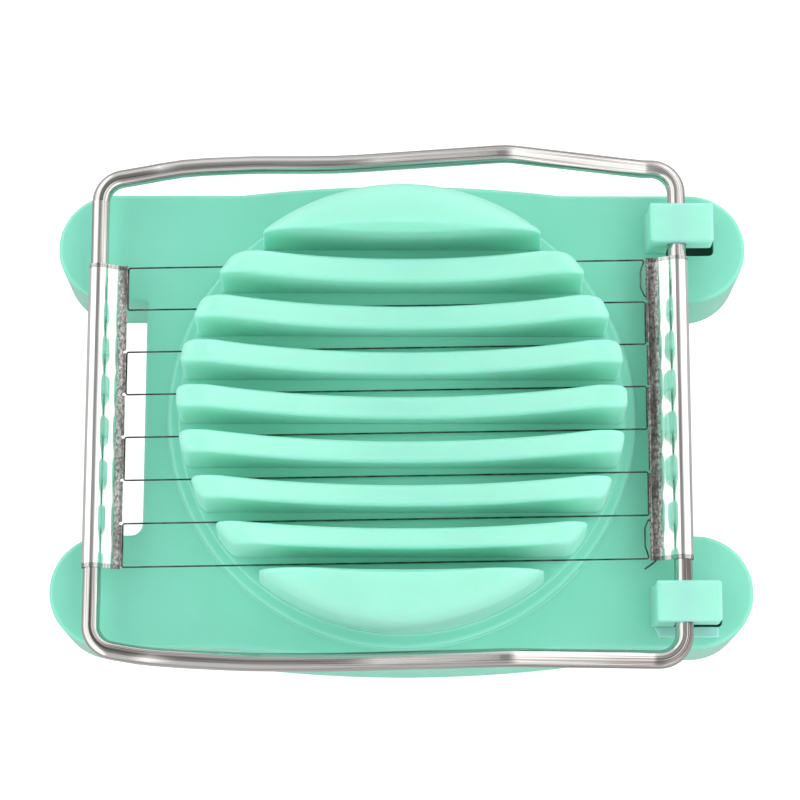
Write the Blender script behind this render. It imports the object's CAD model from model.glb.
"""Looks of the egg slicer: a moulded mint base and a bent rod frame strung with cutting wire.

Sizes are in millimetres and come from the boxes of the CAD nodes where a node gives them.
Meshes are built in millimetres and scaled to metres when they become objects.
"""

import math

import bmesh
import bpy
from mathutils import Matrix, Vector


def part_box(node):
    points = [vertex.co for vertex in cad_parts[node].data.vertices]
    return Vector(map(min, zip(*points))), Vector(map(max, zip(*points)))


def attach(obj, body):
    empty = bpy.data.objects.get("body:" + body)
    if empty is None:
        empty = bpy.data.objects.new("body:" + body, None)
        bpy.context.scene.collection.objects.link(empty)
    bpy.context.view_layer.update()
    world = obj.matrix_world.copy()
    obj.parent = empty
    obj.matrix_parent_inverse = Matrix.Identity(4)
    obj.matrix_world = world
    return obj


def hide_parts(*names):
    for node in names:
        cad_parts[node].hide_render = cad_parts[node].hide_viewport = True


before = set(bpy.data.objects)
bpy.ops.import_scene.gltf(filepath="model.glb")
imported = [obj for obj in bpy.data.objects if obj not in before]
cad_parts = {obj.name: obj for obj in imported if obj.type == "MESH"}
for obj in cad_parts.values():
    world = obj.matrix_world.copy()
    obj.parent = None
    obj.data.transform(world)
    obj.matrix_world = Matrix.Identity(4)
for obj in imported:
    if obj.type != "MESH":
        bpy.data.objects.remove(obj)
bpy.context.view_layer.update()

MM = 0.001
RIB_COUNT = 9
STRAND_COUNT = 8


def node_box(name):
    """Lowest and highest corner of a CAD node, in millimetres."""
    low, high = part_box(name)
    return low / MM, high / MM


# ---- Sizes read from the frame ----

DECK_LOW = node_box("deck")[0].z
DECK_TOP = node_box("deck")[1].z
WALL = DECK_TOP - DECK_LOW
NOTCH_X = node_box("skirt_hinge_side")[1].x
NOTCH_Y = node_box("skirt_hinge_side")[1].y - WALL
HALF_L = node_box("lobe_skirt_hinge_rear")[1].x
HALF_W = node_box("lobe_skirt_hinge_rear")[1].y
LOBE_R = (HALF_W - NOTCH_Y) / 2
LOBE_Y = (HALF_W + NOTCH_Y) / 2
LOBE_X = HALF_L - LOBE_R
DISH_R = node_box("dish_pad")[1].x
SLOT_FLOOR = node_box("dish_pad")[1].z
RIB_R = node_box("cutting_rib_5")[1].x
RIM = node_box("cutting_rib_5")[1].z
BAR_LOW, BAR_HIGH = node_box("hinge_bar")
ROD_R = (BAR_HIGH.z - BAR_LOW.z) / 2
ROD_Z = (BAR_HIGH.z + BAR_LOW.z) / 2
HINGE_X = BAR_HIGH.x - ROD_R
HANDLE_X = node_box("handle_bar")[0].x + ROD_R
ARM_Y = BAR_HIGH.y - ROD_R

# ---- Sizes that the frame's boxes don't give ----

BULGE_FOOT = node_box("skirt_rear")[1].y - HALF_W
BULGE_LOSS = (node_box("skirt_rear")[1].y - node_box("deck")[1].y) / DECK_LOW
BULGE_HALF = 41.0
BULGE_R = (BULGE_HALF**2 + BULGE_FOOT**2) / (2 * BULGE_FOOT)
# Rounding of the deck's rim, of the skirt's foot, and inside where the skirt meets the deck
EDGE_R = 0.8
FOOT_R = 0.35
INNER_R = 0.3
NOTCH_FRONT_R = 2.2
NOTCH_REAR_R = 0.4
WINDOW_R = 37.6
STEP = 1.8
STEP_EDGE_R = 0.8
RIB_DRAFT = 0.3
# Rounding of the upper ends of the first and last rib, of the other ribs, and of the long edges
RIB_ROUND = 5.0
RIB_END_ROUND = 2.6
RIB_EDGE_R = 1.1
HOLLOW_DEPTH = 10.4
HOLLOW_HALF = 31.4
HOLLOW_R = 62.0
CORE_HALF_W = 0.85
CORE_END = 4.0
CORE_TOP = RIM - HOLLOW_DEPTH - 2.0
# Gap round the bar, in the clips' bores and in the holders
BAR_GAP = 0.06
SHEET = 0.2
NOTCH_HALF = 0.32
NOTCH_SLOPE = 0.1
LIP_POINTS = 3
LIP_STEP = 0.02
CLIP_LENGTH = 11.6
CLIP_WIDTH = 7.4
CLIP_GAP = 3.5
THROAT = 1.45
OPENING_END = 0.8
OPENING_SIDE = 0.5
LEDGE_DEPTH = 1.9
LEDGE_HEIGHT = 0.8
LEDGE_SLANT = 0.9
WIRE_BEND = 0.35
WIRE_SLACK = 0.75
FLOOR_HALF = 3000
FLOOR_Z = -0.05
CAMERA_LENS = 125.08
CAMERA_PLACE = (-0.31 * MM, -106.65 * MM, 513.13 * MM)
CAMERA_TILT = 12.49
CAMERA_ROLL = 0.09


# ---- Mesh helpers ----


def steps(first, last, count):
    """Evenly spaced numbers, both ends included."""
    return [first + (last - first) * k / (count - 1) for k in range(count)]


def arc(cx, cy, radius, first, last, count):
    """Points on a circle between two angles in degrees."""
    angles = [math.radians(a) for a in steps(first, last, count)]
    return [(cx + radius * math.cos(a), cy + radius * math.sin(a)) for a in angles]


def loft(bm, rows, closed=True):
    """Quads through rows of points. Returns the rows as vertices."""
    rings = [[bm.verts.new(p) for p in row] for row in rows]
    bridge(bm, rings, closed)
    return rings


def bridge(bm, rings, closed=True):
    """Quads between rows of vertices."""
    count = len(rings[0])
    for a, b in zip(rings, rings[1:]):
        for k in range(count if closed else count - 1):
            n = (k + 1) % count
            bm.faces.new((a[k], a[n], b[n], b[k]))


def fill_flat(bm, *rings):
    """Flat face bounded by closed rings of vertices, the later ones being holes."""
    edges = []
    for ring in rings:
        for a, b in zip(ring, ring[1:] + ring[:1]):
            edges.append(bm.edges.get((a, b)) or bm.edges.new((a, b)))
    bmesh.ops.triangle_fill(bm, use_beauty=True, use_dissolve=False, edges=edges)


def make_piece(name, bm, material, body, replaced=(), sharp=35):
    """Object from a mesh in millimetres, riding on its body."""
    bmesh.ops.remove_doubles(bm, verts=bm.verts, dist=1e-4)
    bmesh.ops.recalc_face_normals(bm, faces=bm.faces)
    mesh = bpy.data.meshes.new(name)
    bm.to_mesh(mesh)
    bm.free()
    mesh.transform(Matrix.Scale(MM, 4))
    mesh.shade_smooth()
    mesh.set_sharp_from_angle(angle=math.radians(sharp))
    mesh.materials.append(material)
    piece = bpy.data.objects.new(name, mesh)
    bpy.context.scene.collection.objects.link(piece)
    weighted = piece.modifiers.new("weighted_normals", "WEIGHTED_NORMAL")
    weighted.keep_sharp = True
    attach(piece, body)
    if replaced:
        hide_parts(*replaced)
    return piece


# ---- Node helpers ----


def new_material(name):
    material = bpy.data.materials.new(name)
    material.use_nodes = True
    tree = material.node_tree
    return material, tree, tree.nodes["Principled BSDF"]


def add_node(tree, kind, inputs=None, **settings):
    """Node with its settings and unlinked inputs set."""
    node = tree.nodes.new(kind)
    for key, value in settings.items():
        setattr(node, key, value)
    for key, value in (inputs or {}).items():
        node.inputs[key].default_value = value
    return node


def noise(tree, vector, scale, detail=3.0, rough=0.55):
    node = add_node(tree, "ShaderNodeTexNoise", {"Scale": scale, "Detail": detail, "Roughness": rough})
    tree.links.new(vector, node.inputs["Vector"])
    return node.outputs["Fac"]


def ramp(tree, factor, stops):
    """Colour ramp through (position, colour) stops."""
    node = tree.nodes.new("ShaderNodeValToRGB")
    elements = node.color_ramp.elements
    while len(elements) < len(stops):
        elements.new(0.5)
    for element, (place, colour) in zip(elements, stops):
        element.position = place
        element.color = (*colour, 1.0)
    tree.links.new(factor, node.inputs["Fac"])
    return node.outputs["Color"]


def map_range(tree, value, low, high, to_low, to_high):
    node = add_node(
        tree,
        "ShaderNodeMapRange",
        {"From Min": low, "From Max": high, "To Min": to_low, "To Max": to_high},
    )
    tree.links.new(value, node.inputs["Value"])
    return node.outputs["Result"]


def mix_colour(tree, factor, a, b, blend="MIX"):
    """Mix of two colours, each a socket or an RGB tuple."""
    node = tree.nodes.new("ShaderNodeMix")
    node.data_type = "RGBA"
    node.blend_type = blend
    for socket, value in ((node.inputs[0], factor), (node.inputs[6], a), (node.inputs[7], b)):
        if isinstance(value, bpy.types.NodeSocket):
            tree.links.new(value, socket)
        elif isinstance(value, tuple):
            socket.default_value = (*value, 1.0)
        else:
            socket.default_value = value
    return node.outputs[2]


def math_node(tree, operation, a, b=0.0):
    node = tree.nodes.new("ShaderNodeMath")
    node.operation = operation
    for socket, value in zip(node.inputs, (a, b)):
        if isinstance(value, bpy.types.NodeSocket):
            tree.links.new(value, socket)
        else:
            socket.default_value = value
    return node.outputs[0]


def stretched(tree, vector, scale):
    """Coordinates scaled by a different amount along each axis."""
    node = add_node(tree, "ShaderNodeMapping", {"Scale": scale})
    tree.links.new(vector, node.inputs["Vector"])
    return node.outputs["Vector"]


def add_bump(tree, shader, height, strength, distance):
    node = add_node(tree, "ShaderNodeBump", {"Strength": strength, "Distance": distance})
    tree.links.new(height, node.inputs["Height"])
    tree.links.new(node.outputs["Normal"], shader.inputs["Normal"])


# ---- Materials ----


def specks(tree, vector, cell, size, share):
    """Mask of small round specks, in one cell out of every few."""
    node = add_node(tree, "ShaderNodeTexVoronoi", {"Scale": 1 / cell})
    tree.links.new(vector, node.inputs["Vector"])
    near = map_range(tree, node.outputs["Distance"], size, size * 0.6, 0.0, 1.0)
    pick = tree.nodes.new("ShaderNodeSeparateColor")
    tree.links.new(node.outputs["Color"], pick.inputs["Color"])
    chosen = math_node(tree, "GREATER_THAN", pick.outputs["Red"], 1 - share)
    return math_node(tree, "MULTIPLY", near, chosen)


def plastic(name, colour, rough, subsurface):
    """Moulded mint plastic: slight cloudiness, soft gloss and a few fine dark specks."""
    material, tree, shader = new_material(name)
    place = tree.nodes.new("ShaderNodeTexCoord").outputs["Object"]
    cloud = noise(tree, place, 55.0, 2.0)
    fine = noise(tree, place, 900.0, 3.0)
    darker = tuple(c * 0.97 for c in colour)
    lighter = tuple(min(1.0, c * 1.03) for c in colour)
    base = ramp(tree, cloud, [(0.3, darker), (0.7, lighter)])
    base = mix_colour(tree, 0.05, base, ramp(tree, fine, [(0.35, darker), (0.65, lighter)]))
    mask = specks(tree, place, 0.009, 0.014, 0.35)
    base = mix_colour(tree, mask, base, (0.05, 0.12, 0.09))
    tree.links.new(base, shader.inputs["Base Color"])
    uneven = map_range(tree, cloud, 0.3, 0.7, rough * 0.85, rough * 1.2)
    tree.links.new(uneven, shader.inputs["Roughness"])
    shader.inputs["IOR"].default_value = 1.47
    shader.inputs["Subsurface Weight"].default_value = subsurface
    shader.inputs["Subsurface Radius"].default_value = (0.25, 1.0, 0.7)
    shader.inputs["Subsurface Scale"].default_value = 0.003
    grain = noise(tree, place, 2600.0, 2.0)
    wave = noise(tree, place, 60.0, 1.0)
    height = math_node(tree, "ADD", math_node(tree, "MULTIPLY", grain, 0.05), wave)
    add_bump(tree, shader, height, 0.05, 0.0003)
    return material


def drawn_steel(name, bright, dark, rough):
    """Drawn rod: marks that run along it, from the mesh's lengthwise coordinates."""
    material, tree, shader = new_material(name)
    along = tree.nodes.new("ShaderNodeUVMap")
    along.uv_map = "along"
    wide = stretched(tree, along.outputs["UV"], (9.0, 900.0, 1.0))
    thin = stretched(tree, along.outputs["UV"], (30.0, 4200.0, 1.0))
    broad = noise(tree, wide, 1.0, 3.0)
    hair = noise(tree, thin, 1.0, 4.0)
    broad_part = math_node(tree, "MULTIPLY", broad, 0.6)
    hair_part = math_node(tree, "MULTIPLY", hair, 0.4)
    marks = math_node(tree, "ADD", broad_part, hair_part)
    middle = tuple((b + d) / 2 for b, d in zip(bright, dark))
    base = ramp(tree, marks, [(0.39, dark), (0.46, middle), (0.54, bright)])
    tree.links.new(base, shader.inputs["Base Color"])
    shader.inputs["Metallic"].default_value = 1.0
    uneven = map_range(tree, marks, 0.35, 0.65, rough * 1.7, rough * 0.8)
    tree.links.new(uneven, shader.inputs["Roughness"])
    add_bump(tree, shader, marks, 0.5, 0.0001)
    return material


def rolled_sheet(name, bar_x):
    """Thin sheet: bright and smooth round the bar and in the valley, grainy on its flange."""
    material, tree, shader = new_material(name)
    place = tree.nodes.new("ShaderNodeTexCoord").outputs["Object"]
    split = tree.nodes.new("ShaderNodeSeparateXYZ")
    tree.links.new(place, split.inputs[0])
    reach = math_node(tree, "ABSOLUTE", math_node(tree, "SUBTRACT", split.outputs["X"], bar_x * MM))
    flange = map_range(tree, reach, 3.3 * MM, 3.7 * MM, 0.0, 1.0)
    grain = noise(tree, stretched(tree, place, (2400.0, 1500.0, 2400.0)), 1.0, 4.0, 0.7)
    lines = noise(tree, stretched(tree, place, (2600.0, 60.0, 2600.0)), 1.0, 3.0)
    smooth = ramp(tree, lines, [(0.3, (0.66, 0.64, 0.63)), (0.6, (0.9, 0.89, 0.88))])
    greys = [(0.36, (0.10, 0.10, 0.09)), (0.5, (0.33, 0.32, 0.31)), (0.66, (0.66, 0.65, 0.64))]
    rough = ramp(tree, grain, greys)
    worn = noise(tree, stretched(tree, place, (700.0, 130.0, 700.0)), 1.0, 2.0)
    rough = mix_colour(tree, map_range(tree, worn, 0.45, 0.65, 0.0, 0.75), rough, (0.09, 0.09, 0.08))
    base = mix_colour(tree, flange, smooth, rough)
    tree.links.new(base, shader.inputs["Base Color"])
    shader.inputs["Metallic"].default_value = 1.0
    tree.links.new(map_range(tree, flange, 0.0, 1.0, 0.07, 0.3), shader.inputs["Roughness"])
    grainy = math_node(tree, "MULTIPLY", grain, flange)
    lined = math_node(tree, "MULTIPLY", lines, 0.1)
    height = math_node(tree, "ADD", grainy, lined)
    add_bump(tree, shader, height, 0.35, 0.0001)
    return material


def thin_wire(name):
    """Fine wire, greyed by use."""
    material, tree, shader = new_material(name)
    place = tree.nodes.new("ShaderNodeTexCoord").outputs["Object"]
    tone = noise(tree, place, 400.0, 3.0)
    base = ramp(tree, tone, [(0.35, (0.03, 0.035, 0.03)), (0.65, (0.16, 0.16, 0.15))])
    tree.links.new(base, shader.inputs["Base Color"])
    shader.inputs["Metallic"].default_value = 1.0
    tree.links.new(map_range(tree, tone, 0.35, 0.65, 0.42, 0.28), shader.inputs["Roughness"])
    add_bump(tree, shader, tone, 0.2, 0.00005)
    return material


# ---- Base shell ----


def bulged_side(inset, height, count):
    """Points from the middle of a long side to the end of its bulge, as (x, y)."""
    radius = BULGE_R - BULGE_LOSS * height - inset
    centre = HALF_W + BULGE_FOOT - BULGE_R
    line = HALF_W - inset
    reach = math.sqrt(radius**2 - (line - centre) ** 2)
    return [(x, centre + math.sqrt(radius**2 - x * x)) for x in steps(0, reach, count)]


def base_outline(inset, height):
    """Plan of the base at a height, moved inwards by inset."""
    side = bulged_side(inset, height, 24)
    lobe = LOBE_R - inset
    right = [(x, -y) for x, y in side]
    right += arc(LOBE_X, -LOBE_Y, lobe, -90, 90, 28)
    right += arc(NOTCH_X + NOTCH_FRONT_R, -NOTCH_Y + NOTCH_FRONT_R, NOTCH_FRONT_R + inset, 270, 180, 8)
    right += arc(NOTCH_X + NOTCH_REAR_R, NOTCH_Y - NOTCH_REAR_R, NOTCH_REAR_R + inset, 180, 90, 5)
    right += arc(LOBE_X, LOBE_Y, lobe, -90, 90, 28)
    right += side[::-1]
    left = [(-x, y) for x, y in right[-2:0:-1]]
    return [(x, y, height) for x, y in right + left]


def shell_section():
    """Wall section as (inset, height): up the inside, under the foot and up the outside."""
    quarter = [math.radians(a) for a in steps(0, 90, 7)]
    rows = []
    for a in quarter:
        rows.append((WALL + INNER_R * (1 - math.sin(a)), DECK_LOW - INNER_R * (1 - math.cos(a))))
    rows += [(WALL, h) for h in steps(DECK_LOW - 2 * INNER_R, 2 * FOOT_R, 4)]
    rows += [(WALL - FOOT_R * (1 - math.cos(a)), FOOT_R * (1 - math.sin(a))) for a in quarter[::2]]
    rows += [(FOOT_R * (1 - math.sin(a)), FOOT_R * (1 - math.cos(a))) for a in quarter[::2]]
    rows += [(0, h) for h in steps(2 * FOOT_R, DECK_TOP - 2 * EDGE_R, 5)]
    rows += [(EDGE_R * (1 - math.cos(a)), DECK_TOP - EDGE_R * (1 - math.sin(a))) for a in quarter]
    return rows


def hook_opening(bm, side):
    """Round-cornered opening through the deck under a clip's hook."""
    corner = 1.0
    middle = clip_middle(side)
    x0, x1 = HINGE_X - THROAT, node_box("hinge_clip_rear")[1].x + OPENING_END
    y0 = middle - CLIP_WIDTH / 2 - (OPENING_SIDE if side > 0 else 0)
    y1 = middle + CLIP_WIDTH / 2
    plan = arc(x1 - corner, y0 + corner, corner, -90, 0, 5)
    plan += arc(x1 - corner, y1 - corner, corner, 0, 90, 5)
    plan += [(x0, y1), (x0, y0)]
    return loft(bm, [[(x, y, z) for x, y in plan] for z in (DECK_LOW, DECK_TOP)])


def clip_middle(side):
    """Place of a clip along the hinge axis."""
    low, high = node_box("hinge_clip_rear")
    return side * (low.y + CLIP_WIDTH / 2)


def build_base_shell(material):
    bm = bmesh.new()
    rings = loft(bm, [base_outline(inset, height) for inset, height in shell_section()])
    circle = arc(0, 0, WINDOW_R, 0, 360, 145)[:-1]
    window = [[(x, y, z) for x, y in circle] for z in (DECK_LOW, DECK_TOP)]
    low, top = loft(bm, window)
    hooks = [hook_opening(bm, side) for side in (-1, 1)]
    fill_flat(bm, rings[0], low, *(ring[0] for ring in hooks))
    fill_flat(bm, rings[-1], top, *(ring[1] for ring in hooks))
    replaced = ["deck", "skirt_front", "skirt_rear", "skirt_hinge_side", "skirt_handle_side"]
    replaced += [f"lobe_skirt_{x}_{y}" for x in ("hinge", "handle") for y in ("front", "rear")]
    make_piece("base_shell", bm, material, "base", replaced)


# ---- Dish step and the hollow cores under the ribs ----


def rib_span(i):
    low, high = node_box(f"cutting_rib_{i}")
    return low.y, high.y


def rib_middle(i):
    """Middle of rib i's slab, which for the first and last rib leaves out their round back."""
    pitch = (rib_span(4)[0] - rib_span(6)[0]) / 2
    return ((RIB_COUNT + 1) / 2 - i) * pitch


RIB_HALF_T = (rib_span(5)[1] - rib_span(5)[0]) / 2


def core_outline(i, height):
    """Round-ended slot of the core under rib i."""
    y = rib_middle(i)
    half = math.sqrt(RIB_R**2 - (abs(y) + RIB_HALF_T) ** 2) - CORE_END - CORE_HALF_W
    points = arc(half, y, CORE_HALF_W, -90, 90, 9) + arc(-half, y, CORE_HALF_W, 90, 270, 9)
    return [(px, py, height) for px, py in points]


def dish_section():
    """Radius and height of the step, from its hollow round the foot to the slot floor."""
    ceiling = SLOT_FLOOR - WALL
    top = DECK_TOP + STEP
    fillet = 0.4
    rows = [(WINDOW_R - 0.6 + r, ceiling - 0.6 + z) for r, z in arc(0, 0, 0.6, 90, 0, 5)]
    rows += [(WINDOW_R, DECK_TOP), (DISH_R + fillet, DECK_TOP)]
    rows += arc(DISH_R + fillet, DECK_TOP + fillet, fillet, 270, 180, 6)
    rows += arc(DISH_R - STEP_EDGE_R, top - STEP_EDGE_R, STEP_EDGE_R, 0, 90, 8)
    rows += arc(RIB_R + 0.6, top + 0.6, 0.6, 270, 180, 6)
    rows += [(RIB_R, SLOT_FLOOR)]
    return rows


def build_dish_step(material):
    bm = bmesh.new()
    turn = arc(0, 0, 1, 0, 360, 217)[:-1]
    rings = loft(bm, [[(r * c, r * s, z) for c, s in turn] for r, z in dish_section()])
    lows, tops = [], []
    for i in range(1, RIB_COUNT + 1):
        low, top = loft(bm, [core_outline(i, SLOT_FLOOR - WALL), core_outline(i, SLOT_FLOOR)])
        lows.append(low)
        tops.append(top)
    fill_flat(bm, rings[0], *lows)
    fill_flat(bm, rings[-1], *tops)
    make_piece("dish_step", bm, material, "base", ["dish_pad"])


# ---- Ribs ----


def hollow_height(x, y):
    """Height of the egg hollow's surface."""
    s = min(abs(y) / HOLLOW_HALF, 1.0)
    radius = HOLLOW_R - HOLLOW_DEPTH * (1 - math.sqrt(1 - s * s))
    if abs(y) >= HOLLOW_HALF or abs(x) >= radius:
        return RIM + 1.0
    return RIM - HOLLOW_DEPTH + HOLLOW_R - math.sqrt(radius**2 - x * x)


def soft_min(a, b, blend):
    h = max(blend - abs(a - b), 0.0) / blend
    return min(a, b) - h * h * blend / 4


def rib_profile(y, count, bend):
    """Outline of a rib in the plane at y, from one foot over the top to the other."""
    shoulder = RIM - bend
    inner = RIB_R - RIB_DRAFT - bend
    side = []
    for z in steps(SLOT_FLOOR, shoulder, 14):
        side.append((RIB_R - RIB_DRAFT * (z - SLOT_FLOOR) / (shoulder - SLOT_FLOOR), z))
    side += [(inner + r, shoulder + h) for r, h in arc(0, 0, bend, 0, 90, 40)[1:]]
    half = [(math.sqrt(r * r - y * y), z) for r, z in side if r > abs(y)]
    start = half[-1][0]
    half += [(start * (1 - k / 60), half[-1][1]) for k in range(1, 61)]
    points = [(x, soft_min(z, hollow_height(x, y), 0.7)) for x, z in half]
    points += [(-x, z) for x, z in points[-2::-1]]
    return even_spacing(points, count)


def even_spacing(points, count):
    """The same line with evenly spaced points."""
    lengths = [0.0]
    for a, b in zip(points, points[1:]):
        lengths.append(lengths[-1] + math.dist(a, b))
    result = []
    k = 0
    for target in steps(0, lengths[-1], count):
        while k < len(points) - 2 and lengths[k + 1] < target:
            k += 1
        share = (target - lengths[k]) / max(lengths[k + 1] - lengths[k], 1e-9)
        result.append(tuple(a + (b - a) * share for a, b in zip(points[k], points[k + 1])))
    return result


def sunk(points, depth):
    """Line moved to its inner side by depth, with its two ends kept at the floor."""
    result = []
    last = len(points) - 1
    for k, (x, z) in enumerate(points):
        ax, az = points[max(k - 1, 0)]
        bx, bz = points[min(k + 1, last)]
        length = math.hypot(bx - ax, bz - az)
        nx, nz = -(bz - az) / length, (bx - ax) / length
        result.append((x + nx * depth, SLOT_FLOOR if k in (0, last) else z + nz * depth))
    return result


def rib_stations(i):
    """Sections of rib i as (y, how far the section is sunk), from its inner or front face."""
    low, high = rib_span(i)
    edge = [math.radians(a) for a in steps(0, 90, 7)]
    inwards = [(RIB_EDGE_R * (1 - math.cos(a)), RIB_EDGE_R * (1 - math.sin(a))) for a in edge]
    if i not in (1, RIB_COUNT):
        rows = [(low + d, depth) for d, depth in inwards]
        rows += [((low + high) / 2, 0.0)]
        return rows + [(high - d, depth) for d, depth in inwards[::-1]]
    side = 1 if i == 1 else -1
    face = low if i == 1 else -high
    top = RIB_R - RIB_DRAFT - RIB_ROUND
    rows = [(side * (face + d), depth) for d, depth in inwards]
    rows += [(side * y, 0.0) for y in steps(face + 1.4, top, 6)]
    rows += [(side * (top + RIB_ROUND * math.sin(math.radians(a))), 0.0) for a in steps(6, 90, 15)]
    rows += [(side * (RIB_R - RIB_DRAFT * f), 0.0) for f in (0.7, 0.4, 0.2, 0.08, 0.02)]
    return rows


def build_rib(i, material):
    bm = bmesh.new()
    rows = []
    bend = RIB_ROUND if i in (1, RIB_COUNT) else RIB_END_ROUND
    for y, depth in rib_stations(i):
        rows.append([(x, y, z) for x, z in sunk(rib_profile(y, 181, bend), depth)])
    rings = loft(bm, rows, closed=False)
    bm.faces.new(rings[0])
    bm.faces.new(rings[-1])
    foot = [ring[0] for ring in rings] + [ring[-1] for ring in rings[::-1]]
    low, top = loft(bm, [core_outline(i, SLOT_FLOOR), core_outline(i, CORE_TOP)])
    bm.faces.new(top)
    fill_flat(bm, foot, low)
    make_piece(f"rib_{i}", bm, material, "base", [f"cutting_rib_{i}"], sharp=50)


# ---- Hinge clips ----


def clip_outline(x0, x1, top):
    """Side view of a clip as (x, z): a post with a hook that reaches over the bar."""
    root = 0.5
    bore = ROD_R + BAR_GAP
    hook = DECK_TOP + CLIP_GAP
    start = math.degrees(math.acos(THROAT / bore))
    points = [(x0 - root, DECK_TOP), (HINGE_X - THROAT, DECK_TOP)]
    points += arc(HINGE_X, ROD_Z, bore, 180 + start, -start, 22)
    points += [(HINGE_X + THROAT, hook), (x1, hook), (x1, top), (x0, top), (x0, DECK_TOP + 3 * root)]
    return points


def add_prism(bm, outline, y0, y1):
    """Solid between two planes along Y, from an outline of (x, z)."""
    front, back = loft(bm, [[(x, y, z) for x, z in outline] for y in (y0, y1)])
    bm.faces.new(front)
    bm.faces.new(back)


def add_ledge(bm, x0, x1, y0, side):
    """Low ledge along a clip's outer side, with its left end cut at a slant."""
    far = y0 + side * LEDGE_DEPTH
    plan = [(x0, y0), (x1, y0), (x1, far), (x0 + LEDGE_SLANT, far)]
    low, top = loft(bm, [[(x, y, z) for x, y in plan] for z in (DECK_TOP, DECK_TOP + LEDGE_HEIGHT)])
    bm.faces.new(low)
    bm.faces.new(top)


def weigh_clip_edges(bm, x0, x1, top):
    """Large rounding round the top and the outer corners, small rounding elsewhere."""
    weight = bm.edges.layers.float.new("bevel_weight_edge")
    for edge in bm.edges:
        a, b = (v.co for v in edge.verts)
        if edge.calc_face_angle(0) < math.radians(25) or max(a.z, b.z) <= DECK_TOP + 0.01:
            continue
        on_top = min(a.z, b.z) > top - 0.01
        upright = min(a.z, b.z) > DECK_TOP + 1 and abs(a.y - b.y) < 0.01 and abs(a.x - b.x) < 0.01
        outer = min(abs(a.x - x0), abs(a.x - x1)) < 0.01
        edge[weight] = 1.0 if on_top or (upright and outer) else 0.3


def build_clip(name, side, material):
    high = node_box(name)[1]
    x1 = high.x
    x0 = x1 - CLIP_LENGTH
    middle = clip_middle(side)
    bm = bmesh.new()
    add_prism(bm, clip_outline(x0, x1, high.z), middle - CLIP_WIDTH / 2, middle + CLIP_WIDTH / 2)
    add_ledge(bm, x0, x1, middle + side * CLIP_WIDTH / 2, side)
    bmesh.ops.recalc_face_normals(bm, faces=bm.faces)
    weigh_clip_edges(bm, x0, x1, high.z)
    piece = make_piece(name.replace("hinge_clip", "clip"), bm, material, "base", [name])
    bevel = piece.modifiers.new("rounded_edges", "BEVEL")
    bevel.limit_method = "WEIGHT"
    bevel.width = 0.7 * MM
    bevel.segments = 5
    bevel.use_clamp_overlap = True
    piece.modifiers.move(1, 0)


# ---- Swept rod and wire ----


def rounded_path(corners, closed, per_degree=0.12):
    """Points along straight runs joined by round bends. Each corner is (x, y, z, bend radius)."""
    count = len(corners)
    path = []
    for k, (x, y, z, radius) in enumerate(corners):
        here = Vector((x, y, z))
        if not closed and k in (0, count - 1):
            path.append(here)
            continue
        before = (Vector(corners[k - 1][:3]) - here).normalized()
        after = (Vector(corners[(k + 1) % count][:3]) - here).normalized()
        turn = math.pi - before.angle(after)
        if turn < 1e-4 or radius <= 0:
            path.append(here)
            continue
        tangent = radius * math.tan(turn / 2)
        centre = here + (before + after).normalized() * (radius / math.cos(turn / 2))
        u = (here + before * tangent) - centre
        v = (here + after * tangent) - centre
        axis = u.cross(v).normalized()
        parts = max(2, round(math.degrees(turn) * per_degree))
        for j in range(parts + 1):
            path.append(centre + Matrix.Rotation(turn * j / parts, 3, axis) @ u)
    return path


def spaced(path, gap, closed):
    """Extra points on long straight runs."""
    result = []
    ends = path[1:] + path[:1] if closed else path[1:]
    for a, b in zip(path, ends):
        parts = max(1, int((b - a).length / gap))
        result += [a.lerp(b, j / parts) for j in range(parts)]
    return result if closed else result + [path[-1]]


def sweep(bm, path, radius, sides, closed):
    """Round tube along a path, with lengthwise coordinates in the UV map 'along'."""
    count = len(path)
    tangents = []
    for k in range(count):
        a = path[k - 1] if closed or k > 0 else path[k]
        b = path[(k + 1) % count] if closed or k < count - 1 else path[k]
        tangents.append((b - a).normalized())
    normal = tangents[0].orthogonal().normalized()
    normals = [normal]
    for a, b in zip(tangents, tangents[1:]):
        normal = a.rotation_difference(b) @ normal
        normals.append((normal - b * normal.dot(b)).normalized())
    twist = 0.0
    if closed:
        end = tangents[-1].rotation_difference(tangents[0]) @ normals[-1]
        twist = math.atan2(end.cross(normals[0]).dot(tangents[0]), end.dot(normals[0]))
    rings, lengths = [], [0.0]
    for k, point in enumerate(path):
        across = Matrix.Rotation(twist * k / count, 3, tangents[k]) @ normals[k]
        other = tangents[k].cross(across)
        ring = []
        for j in range(sides):
            a = 2 * math.pi * j / sides
            ring.append(bm.verts.new(point + (across * math.cos(a) + other * math.sin(a)) * radius))
        rings.append(ring)
        lengths.append(lengths[-1] + (path[(k + 1) % count] - point).length)
    layer = bm.loops.layers.uv.get("along") or bm.loops.layers.uv.new("along")
    for k in range(count if closed else count - 1):
        near, far = rings[k], rings[(k + 1) % count]
        for j in range(sides):
            n = (j + 1) % sides
            face = bm.faces.new((near[j], near[n], far[n], far[j]))
            along = (lengths[k], lengths[k], lengths[k + 1], lengths[k + 1])
            around = (j, j + 1, j + 1, j)
            for corner, s, t in zip(face.loops, along, around):
                corner[layer].uv = (s * MM, 2 * math.pi * radius * t / sides * MM)
    if not closed:
        bm.faces.new(rings[0])
        bm.faces.new(rings[-1])


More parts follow.
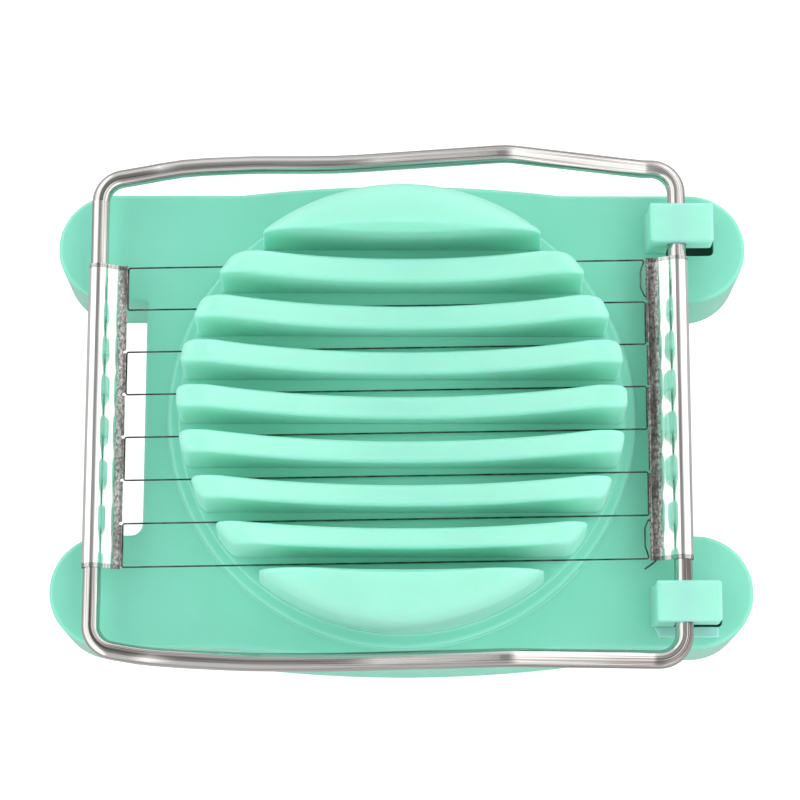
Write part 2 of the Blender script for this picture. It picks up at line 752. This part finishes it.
def arm_corners(side):
    """Corners of one arm from the handle end, where it sweeps out gently, to the hinge end."""
    flat = ROD_Z + 1.7
    peak = node_box("arm_rear")[1].z - ROD_R + 0.4
    wide = ARM_Y + 0.18
    hinge_end = ARM_Y if side > 0 else ARM_Y - 0.6
    return [
        (HANDLE_X, side * (wide - 2.9), ROD_Z, 4.6),
        (HANDLE_X + 8.7, side * (wide - 1.35), ROD_Z, 20),
        (HANDLE_X + 15.0, side * (wide - 0.6), flat, 30),
        (HANDLE_X + 28.0, side * wide, flat, 120),
        (-12, side * wide, flat, 45),
        (19, side * wide, peak, 6),
        (HINGE_X - 6, side * hinge_end, ROD_Z, 5),
        (HINGE_X, side * hinge_end, ROD_Z, 4.6),
    ]


def build_rod(material):
    corners = arm_corners(1) + arm_corners(-1)[::-1]
    path = spaced(rounded_path(corners, True, 0.16), 3.0, True)
    bm = bmesh.new()
    sweep(bm, path, ROD_R, 32, True)
    replaced = ["hinge_bar", "handle_bar", "arm_front", "arm_rear"]
    make_piece("frame_rod", bm, material, "frame", replaced)


# ---- Wire holders ----


def holder_line(reach):
    """Middle line of the holder's section, as (reach towards the dish, height from the bar)."""
    wrap = ROD_R + BAR_GAP + SHEET / 2
    line = arc(0, 0, wrap, -40, -330, 46)
    line += arc(4.70, 4.80, 5.0, 232, 252, 12)
    line += [(3.32, -0.08), (3.48, -0.3), (3.8, -0.5), (4.3, -0.68), (reach - 0.5, -0.8)]
    line += [(reach - 0.26, -0.76), (reach - 0.1, -0.6), (reach - 0.04, -0.35)]
    return line


def thickened(line, thick):
    """Closed outline of a strip along a line."""
    upper, lower = [], []
    last = len(line) - 1
    for k, (x, z) in enumerate(line):
        ax, az = line[max(k - 1, 0)]
        bx, bz = line[min(k + 1, last)]
        length = math.hypot(bx - ax, bz - az)
        nx, nz = -(bz - az) / length * thick / 2, (bx - ax) / length * thick / 2
        upper.append((x + nx, z + nz))
        lower.append((x - nx, z - nz))
    return upper, lower


def strand_y(side):
    """Places of the strands along a holder, from the rear to the front."""
    nodes = [node_box(f"cutting_wire_{i}") for i in range(1, STRAND_COUNT + 1)]
    wire_r = (nodes[0][1].z - nodes[0][0].z) / 2
    if side > 0:
        return [high.y - wire_r for low, high in nodes]
    return [low.y + wire_r for low, high in nodes]


def notched(upper, lower):
    """The section with its lip cut away, where a strand passes."""
    outer, inner = list(upper), list(lower)
    keep = len(outer) - LIP_POINTS
    for k in range(keep, len(outer)):
        share = (k - keep + 1) / LIP_POINTS * LIP_STEP
        outer[k] = (outer[keep - 1][0] + share, outer[keep - 1][1])
        inner[k] = (inner[keep - 1][0] + share, inner[keep - 1][1])
    return outer, inner


def build_holder(name, side, material):
    low, high = node_box(name)
    bar_x = HINGE_X if side > 0 else HANDLE_X
    reach = max(abs(low.x - bar_x), abs(high.x - bar_x))
    upper, lower = thickened(holder_line(reach), SHEET)
    stations = [(low.y, 0), (low.y + 0.12, 0)]
    for y in sorted(strand_y(side)):
        stations += [(y - NOTCH_HALF, 0), (y - NOTCH_HALF + NOTCH_SLOPE, 1)]
        stations += [(y + NOTCH_HALF - NOTCH_SLOPE, 1), (y + NOTCH_HALF, 0)]
    stations += [(high.y - 0.12, 0), (high.y, 0)]
    bm = bmesh.new()
    rows = []
    for y, cut in stations:
        outer, inner = notched(upper, lower) if cut else (upper, lower)
        section = outer + inner[::-1]
        rows.append([(bar_x - side * u, y, ROD_Z + z) for u, z in section])
    rings = loft(bm, rows)
    bm.faces.new(rings[0])
    bm.faces.new(rings[-1])
    make_piece(f"{name}_sheet", bm, material, "frame", [name], sharp=40)


# ---- Cutting wire ----


def wire_place():
    """The wire's radius and height, and the X of its turns at the handle and at the hinge."""
    low, high = node_box("cutting_wire_1")
    radius = (high.z - low.z) / 2
    return radius, (high.z + low.z) / 2, low.x - radius, high.x + radius


def wire_corners():
    """Route of the wire from its slack start, strand by strand, with a turn at each lip."""
    _, z, left_x, right_x = wire_place()
    left, right = strand_y(-1), strand_y(1)
    slack_x = right_x - WIRE_SLACK
    route = [(right_x + 0.5, right[1] + 0.9, z - 0.35, 0)]
    route += [(right_x - 0.1, right[1] + 1.2, z, WIRE_BEND)]
    route += [(slack_x, right[1] + 2.6, z + 0.3, 1.5), (slack_x, right[0] - 2.2, z + 0.3, 1.5)]
    for i in range(STRAND_COUNT):
        ends = [(right_x, right[i], z, WIRE_BEND), (left_x, left[i], z, WIRE_BEND)]
        route += ends if i % 2 == 0 else ends[::-1]
    return route


def build_wire(material):
    """The laced wire with its slack tail, and the cut end that sticks out beside it."""
    radius, z, _, right_x = wire_place()
    right = strand_y(1)
    slack_x = right_x - WIRE_SLACK
    tail = [(slack_x, right[-1] + 2.2, z + 0.3, 1.5), (slack_x, right[-2] - 2.4, z + 0.3, 1.5)]
    tail += [(right_x - 0.1, right[-2] - 0.9, z, WIRE_BEND), (right_x + 0.6, right[-2] - 0.7, z - 0.35, 0)]
    bm = bmesh.new()
    route = rounded_path(wire_corners() + tail, False, 0.1)
    sweep(bm, spaced(route, 8.0, False), radius, 10, False)
    end = [(right_x + 1.2, right[-1] - 0.3, z + 0.1, 0), (right_x + 0.5, right[-1] - 0.9, z + 0.1, 0.5)]
    end += [(right_x - 0.9, right[-1] - 1.9, z + 0.2, 0)]
    sweep(bm, rounded_path(end, False), radius, 10, False)
    replaced = [f"cutting_wire_{i}" for i in range(1, STRAND_COUNT + 1)]
    replaced += ["wire_turns_hinge", "wire_turns_handle"]
    make_piece("laced_wire", bm, material, "frame", replaced)


# ---- Stage ----


def under_lobes(tree):
    """Zero under the base's lobes, where the floor lies in the dark, and one elsewhere."""
    split = tree.nodes.new("ShaderNodeSeparateXYZ")
    tree.links.new(tree.nodes.new("ShaderNodeTexCoord").outputs["Object"], split.inputs[0])
    along = math_node(tree, "SUBTRACT", math_node(tree, "ABSOLUTE", split.outputs["X"]), LOBE_X * MM)
    across = math_node(tree, "SUBTRACT", math_node(tree, "ABSOLUTE", split.outputs["Y"]), LOBE_Y * MM)
    along_square = math_node(tree, "POWER", along, 2.0)
    across_square = math_node(tree, "POWER", across, 2.0)
    square = math_node(tree, "ADD", along_square, across_square)
    return math_node(tree, "GREATER_THAN", square, ((LOBE_R - 1.0) * MM) ** 2)


def build_floor():
    """Pale floor that glows, more to the camera than to the object, so that no shadow shows."""
    material, tree, shader = new_material("pale_floor")
    shader.inputs["Base Color"].default_value = (0.3, 0.3, 0.3, 1)
    shader.inputs["Roughness"].default_value = 0.9
    shader.inputs["Specular IOR Level"].default_value = 0.0
    shader.inputs["Emission Color"].default_value = (1, 1, 1, 1)
    seen = tree.nodes.new("ShaderNodeLightPath").outputs["Is Camera Ray"]
    glow = map_range(tree, seen, 0.0, 1.0, 0.25, 0.97)
    strength = math_node(tree, "MULTIPLY", glow, under_lobes(tree))
    tree.links.new(strength, shader.inputs["Emission Strength"])
    bm = bmesh.new()
    half = FLOOR_HALF
    plan = ((-half, -half), (half, -half), (half, half), (-half, half))
    bm.faces.new([bm.verts.new((x, y, FLOOR_Z)) for x, y in plan])
    mesh = bpy.data.meshes.new("floor")
    bm.to_mesh(mesh)
    bm.free()
    mesh.transform(Matrix.Scale(MM, 4))
    mesh.materials.append(material)
    floor = bpy.data.objects.new("floor", mesh)
    bpy.context.scene.collection.objects.link(floor)


def build_world():
    """Light from both short sides, dimmer from back and front, dark overhead, pale to the camera."""
    world = bpy.data.worlds.new("studio")
    bpy.context.scene.world = world
    world.use_nodes = True
    tree = world.node_tree
    background = tree.nodes["Background"]
    direction = tree.nodes.new("ShaderNodeTexCoord").outputs["Generated"]
    split = tree.nodes.new("ShaderNodeSeparateXYZ")
    tree.links.new(direction, split.inputs[0])
    across = map_range(tree, split.outputs["X"], -1.0, 1.0, 0.0, 1.0)
    bright, dark = (1.5, 1.5, 1.48), (0.34, 0.34, 0.34)
    stops = [(0.26, bright), (0.31, dark), (0.52, dark), (0.60, (0.7, 0.7, 0.7)), (0.70, bright)]
    light = ramp(tree, across, stops)
    back = map_range(tree, split.outputs["Y"], 0.45, 0.8, 0.0, 0.6)
    front = map_range(tree, split.outputs["Y"], -0.45, -0.7, 0.0, 0.35)
    light = mix_colour(tree, 1.0, light, math_node(tree, "ADD", back, front), "ADD")
    path = tree.nodes.new("ShaderNodeLightPath").outputs["Is Camera Ray"]
    seen = mix_colour(tree, path, light, (0.97, 0.97, 0.97))
    tree.links.new(seen, background.inputs["Color"])
    background.inputs["Strength"].default_value = 1.0


def build_camera():
    data = bpy.data.cameras.new("camera")
    data.lens = CAMERA_LENS
    data.sensor_width = 36
    data.clip_start = 0.01
    data.clip_end = 20
    camera = bpy.data.objects.new("camera", data)
    bpy.context.scene.collection.objects.link(camera)
    place = Matrix.Translation(CAMERA_PLACE)
    tilt = Matrix.Rotation(math.radians(CAMERA_TILT), 4, "X")
    roll = Matrix.Rotation(math.radians(CAMERA_ROLL), 4, "Z")
    camera.matrix_world = place @ tilt @ roll
    bpy.context.scene.camera = camera


# ---- The scene ----

bpy.context.scene.view_settings.view_transform = "Standard"
build_camera()
build_world()
build_floor()

deck_plastic = plastic("deck_plastic", (0.27, 0.80, 0.62), 0.16, 0.1)
rib_plastic = plastic("rib_plastic", (0.38, 0.85, 0.70), 0.34, 0.6)
rod_steel = drawn_steel("rod_steel", (0.72, 0.70, 0.68), (0.12, 0.10, 0.09), 0.14)
hinge_sheet = rolled_sheet("hinge_sheet", HINGE_X)
handle_sheet = rolled_sheet("handle_sheet", HANDLE_X)
wire_steel = thin_wire("wire_steel")

build_base_shell(deck_plastic)
build_dish_step(deck_plastic)
for rib in range(1, RIB_COUNT + 1):
    build_rib(rib, rib_plastic)
build_clip("hinge_clip_front", -1, rib_plastic)
build_clip("hinge_clip_rear", 1, rib_plastic)
build_rod(rod_steel)
build_holder("wire_holder_hinge", 1, hinge_sheet)
build_holder("wire_holder_handle", -1, handle_sheet)
build_wire(wire_steel)
